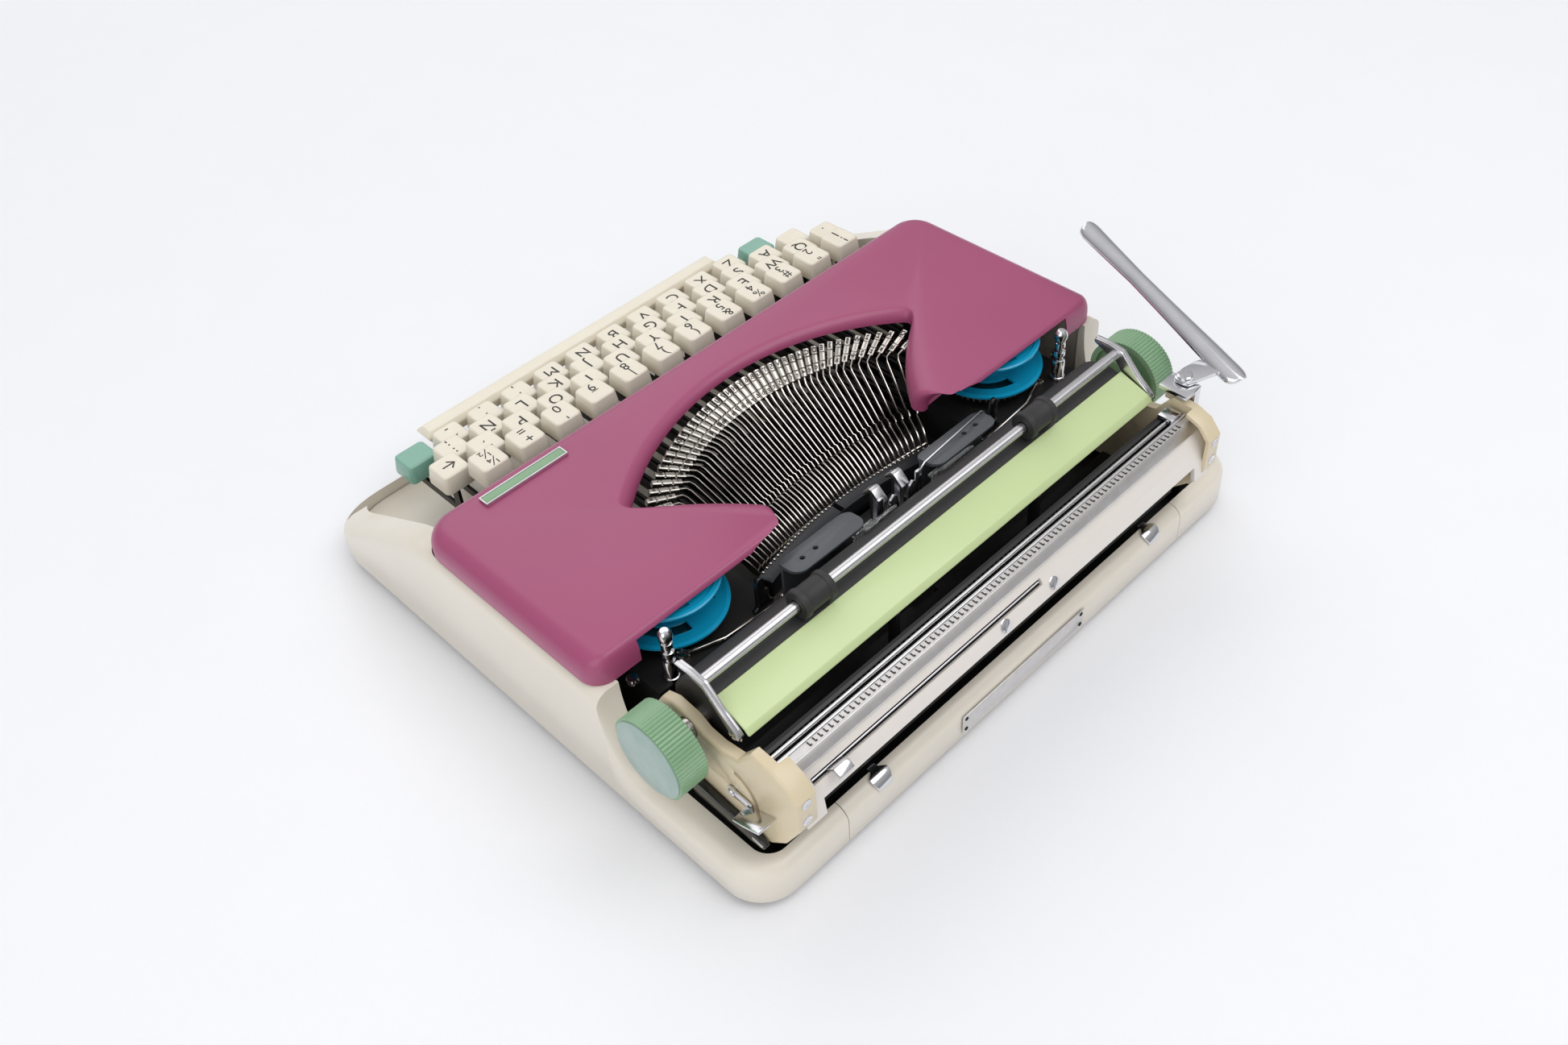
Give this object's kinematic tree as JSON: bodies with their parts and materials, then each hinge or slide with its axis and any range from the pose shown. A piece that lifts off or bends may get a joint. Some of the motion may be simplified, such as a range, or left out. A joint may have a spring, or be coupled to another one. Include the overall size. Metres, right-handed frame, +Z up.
{
  "type": "portable typewriter",
  "caption": "Low flat portable typewriter with a cream body, magenta ribbon cover, open type basket, moving carriage with knobs and a long return lever.",
  "frame": {"origin": "centre of the footprint, on the plane the rubber feet stand on", "axes": "+X to the typist's right, +Y from the keyboard to the carriage at the rear, +Z up"},
  "size_m": [0.305, 0.2884, 0.099],
  "materials": {
    "cream_paint": "gloss enamel",
    "magenta_paint": "gloss enamel",
    "lime_paint": "gloss enamel",
    "black_paint": "satin enamel",
    "foot_rubber": "matt",
    "platen_rubber": "ground rubber",
    "chrome": "polished",
    "type_steel": "ground",
    "spool_plastic": "gloss",
    "knob_plastic": "gloss",
    "key_plastic": "soft gloss",
    "shift_key_plastic": "soft gloss"
  },
  "bodies": {
    "base": {"base_shell": "cream_paint", "rear_panel": "cream_paint", "bottom_plate": "black_paint", "foot_front_left": "foot_rubber", "foot_front_right": "foot_rubber", "foot_rear_left": "foot_rubber", "foot_rear_right": "foot_rubber", "rear_nameplate": "chrome", "rear_clip_left": "chrome", "rear_clip_right": "chrome", "mechanism_frame": "black_paint", "card_guide_left": "black_paint", "card_guide_right": "black_paint", "type_guide": "chrome", "ribbon_post_left": "chrome", "ribbon_post_right": "chrome", "carriage_rail": "type_steel", "type_segment": "black_paint", "typebar_bank": "type_steel"},
    "cover": {"ribbon_cover": "magenta_paint", "cover_badge_bar": "chrome"},
    "carriage": {"carriage_frame": "black_paint", "end_plate_left": "cream_paint", "end_plate_right": "cream_paint", "carriage_rear_cover": "cream_paint", "margin_rack": "type_steel", "paper_table": "lime_paint", "return_lever_bracket": "chrome"},
    "platen_roller": {"platen": "platen_rubber", "knob_left": "knob_plastic", "knob_right": "knob_plastic"},
    "bail": {"paper_bail": "chrome"},
    "bail_roller_left_body": {"bail_roller_left": "platen_rubber"},
    "bail_roller_right_body": {"bail_roller_right": "platen_rubber"},
    "return_lever_body": {"return_lever": "chrome"},
    "paper_release_lever_body": {"paper_release_lever": "chrome"},
    "carriage_release_lever_body": {"carriage_release_lever": "black_paint"},
    "margin_stop_left_body": {"margin_stop_left": "chrome"},
    "margin_stop_right_body": {"margin_stop_right": "chrome"},
    "ribbon_spool_left_body": {"ribbon_spool_left": "spool_plastic"},
    "ribbon_spool_right_body": {"ribbon_spool_right": "spool_plastic"},
    "ribbon_vibrator_body": {"ribbon_vibrator": "chrome"},
    "typebar_sample_body": {"typebar_sample": "type_steel"},
    "keys_numbers_body": {"keys_numbers": "key_plastic"},
    "keys_upper_body": {"keys_upper": "key_plastic"},
    "keys_home_body": {"keys_home": "key_plastic"},
    "keys_lower_body": {"keys_lower": "key_plastic"},
    "key_sample_numbers_body": {"key_sample_numbers": "key_plastic"},
    "key_sample_upper_body": {"key_sample_upper": "key_plastic"},
    "key_sample_home_body": {"key_sample_home": "key_plastic"},
    "key_sample_lower_body": {"key_sample_lower": "key_plastic"},
    "key_margin_release_body": {"key_margin_release": "key_plastic"},
    "key_backspace_body": {"key_backspace": "key_plastic"},
    "key_shift_lock_body": {"key_shift_lock": "key_plastic"},
    "key_shift_left_body": {"key_shift_left": "shift_key_plastic"},
    "key_shift_right_body": {"key_shift_right": "shift_key_plastic"},
    "space_bar_body": {"space_bar": "key_plastic"}
  },
  "joints": [
    {"name": "carriage_slide", "type": "slide", "parent": "base", "child": "carriage", "axis": [1, 0, 0], "range_m": [-0.105, 0.085]},
    {"name": "platen_turn", "type": "hinge", "parent": "carriage", "child": "platen_roller", "pos_m": [0.00302, 0.0917, 0.0595], "axis": [1, 0, 0], "continuous": true},
    {"name": "bail_lift", "type": "hinge", "parent": "carriage", "child": "bail", "pos_m": [0.00302, 0.1098, 0.066], "axis": [1, 0, 0], "range_deg": [-50, 0]},
    {"name": "bail_roller_left_turn", "type": "hinge", "parent": "bail", "child": "bail_roller_left_body", "pos_m": [-0.04898, 0.0943, 0.0805], "axis": [1, 0, 0], "continuous": true},
    {"name": "bail_roller_right_turn", "type": "hinge", "parent": "bail", "child": "bail_roller_right_body", "pos_m": [0.07502, 0.0943, 0.0805], "axis": [1, 0, 0], "continuous": true},
    {"name": "return_lever_swing", "type": "hinge", "parent": "carriage", "child": "return_lever_body", "pos_m": [-0.10958, 0.1218, 0.078], "axis": [0, 0, 1], "range_deg": [0, 28], "stiffness_Nm_per_rad": 0.15, "springref_deg": -14.32},
    {"name": "paper_release_turn", "type": "hinge", "parent": "carriage", "child": "paper_release_lever_body", "pos_m": [0.13302, 0.1121, 0.0429], "axis": [1, 0, 0], "range_deg": [0, 60]},
    {"name": "carriage_release_press", "type": "hinge", "parent": "carriage", "child": "carriage_release_lever_body", "pos_m": [0.13502, 0.0923, 0.032], "axis": [1, 0, 0], "range_deg": [0, 12], "stiffness_Nm_per_rad": 0.06, "springref_deg": -11.46},
    {"name": "margin_stop_left_slide", "type": "slide", "parent": "carriage", "child": "margin_stop_left_body", "axis": [1, 0, 0], "range_m": [-0.001, 0.1]},
    {"name": "margin_stop_right_slide", "type": "slide", "parent": "carriage", "child": "margin_stop_right_body", "axis": [1, 0, 0], "range_m": [-0.1, 0.006]},
    {"name": "ribbon_spool_left_turn", "type": "hinge", "parent": "base", "child": "ribbon_spool_left_body", "pos_m": [-0.09048, 0.0373, 0.055], "axis": [0, 0, 1], "continuous": true},
    {"name": "ribbon_spool_right_turn", "type": "hinge", "parent": "base", "child": "ribbon_spool_right_body", "pos_m": [0.09652, 0.0373, 0.055], "axis": [0, 0, 1], "continuous": true},
    {"name": "cover_lift", "type": "slide", "parent": "base", "child": "cover", "axis": [0, 0, 1], "range_m": [0, 0.02]},
    {"name": "key_sample_numbers_press", "type": "hinge", "parent": "base", "child": "key_sample_numbers_body", "pos_m": [0.00302, 0.0558, 0.0215], "axis": [1, 0, 0], "range_deg": [0, 4.99], "stiffness_Nm_per_rad": 0.4, "springref_deg": -5.73},
    {"name": "keys_numbers_press", "type": "hinge", "parent": "base", "child": "keys_numbers_body", "pos_m": [0.00302, 0.0558, 0.0215], "axis": [1, 0, 0], "range_deg": [0, 4.99], "stiffness_Nm_per_rad": 4, "springref_deg": -5.73},
    {"name": "key_sample_upper_press", "type": "hinge", "parent": "base", "child": "key_sample_upper_body", "pos_m": [0.00302, 0.0558, 0.0215], "axis": [1, 0, 0], "range_deg": [0, 4.38], "stiffness_Nm_per_rad": 0.4, "springref_deg": -5.73},
    {"name": "keys_upper_press", "type": "hinge", "parent": "base", "child": "keys_upper_body", "pos_m": [0.00302, 0.0558, 0.0215], "axis": [1, 0, 0], "range_deg": [0, 4.38], "stiffness_Nm_per_rad": 4, "springref_deg": -5.73},
    {"name": "key_sample_home_press", "type": "hinge", "parent": "base", "child": "key_sample_home_body", "pos_m": [0.00302, 0.0558, 0.0215], "axis": [1, 0, 0], "range_deg": [0, 3.91], "stiffness_Nm_per_rad": 0.4, "springref_deg": -5.73},
    {"name": "keys_home_press", "type": "hinge", "parent": "base", "child": "keys_home_body", "pos_m": [0.00302, 0.0558, 0.0215], "axis": [1, 0, 0], "range_deg": [0, 3.91], "stiffness_Nm_per_rad": 4, "springref_deg": -5.73},
    {"name": "key_sample_lower_press", "type": "hinge", "parent": "base", "child": "key_sample_lower_body", "pos_m": [0.00302, 0.0558, 0.0215], "axis": [1, 0, 0], "range_deg": [0, 3.53], "stiffness_Nm_per_rad": 0.4, "springref_deg": -5.73},
    {"name": "keys_lower_press", "type": "hinge", "parent": "base", "child": "keys_lower_body", "pos_m": [0.00302, 0.0558, 0.0215], "axis": [1, 0, 0], "range_deg": [0, 3.53], "stiffness_Nm_per_rad": 4, "springref_deg": -5.73},
    {"name": "key_margin_release_press", "type": "hinge", "parent": "base", "child": "key_margin_release_body", "pos_m": [0.00302, 0.0558, 0.0215], "axis": [1, 0, 0], "range_deg": [0, 3.99], "stiffness_Nm_per_rad": 0.4, "springref_deg": -5.73},
    {"name": "key_backspace_press", "type": "hinge", "parent": "base", "child": "key_backspace_body", "pos_m": [0.00302, 0.0558, 0.0215], "axis": [1, 0, 0], "range_deg": [0, 3.99], "stiffness_Nm_per_rad": 0.4, "springref_deg": -5.73},
    {"name": "key_shift_lock_press", "type": "hinge", "parent": "base", "child": "key_shift_lock_body", "pos_m": [0.00302, 0.0558, 0.0215], "axis": [1, 0, 0], "range_deg": [0, 2.84], "stiffness_Nm_per_rad": 0.4, "springref_deg": -5.73},
    {"name": "key_shift_left_press", "type": "hinge", "parent": "base", "child": "key_shift_left_body", "pos_m": [0.00302, 0.0558, 0.0215], "axis": [1, 0, 0], "range_deg": [0, 2.89], "stiffness_Nm_per_rad": 0.5, "springref_deg": -6.88},
    {"name": "key_shift_right_press", "type": "hinge", "parent": "base", "child": "key_shift_right_body", "pos_m": [0.00302, 0.0558, 0.0215], "axis": [1, 0, 0], "range_deg": [0, 2.89], "stiffness_Nm_per_rad": 0.5, "springref_deg": -6.88},
    {"name": "space_bar_press", "type": "hinge", "parent": "base", "child": "space_bar_body", "pos_m": [0.00302, 0.0178, 0.0215], "axis": [1, 0, 0], "range_deg": [0, 1.75], "stiffness_Nm_per_rad": 1.2, "springref_deg": -5.73},
    {"name": "ribbon_vibrator_lift", "type": "slide", "parent": "base", "child": "ribbon_vibrator_body", "axis": [0, 0, 1], "range_m": [0, 0.008]},
    {"name": "typebar_sample_swing", "type": "hinge", "parent": "base", "child": "typebar_sample_body", "pos_m": [0.00574, 0.03377, 0.03283], "axis": [-0.9982, -0.0593, 0], "range_deg": [0, 106.27]}
  ],
  "couplings": [
    {"joint": "key_shift_right_press", "follows": "key_shift_left_press", "ratio": 1},
    {"joint": "ribbon_vibrator_lift", "follows": "key_sample_home_press", "m_per_rad": 0.1099},
    {"joint": "typebar_sample_swing", "follows": "key_sample_home_press", "ratio": 27.05}
  ]
}
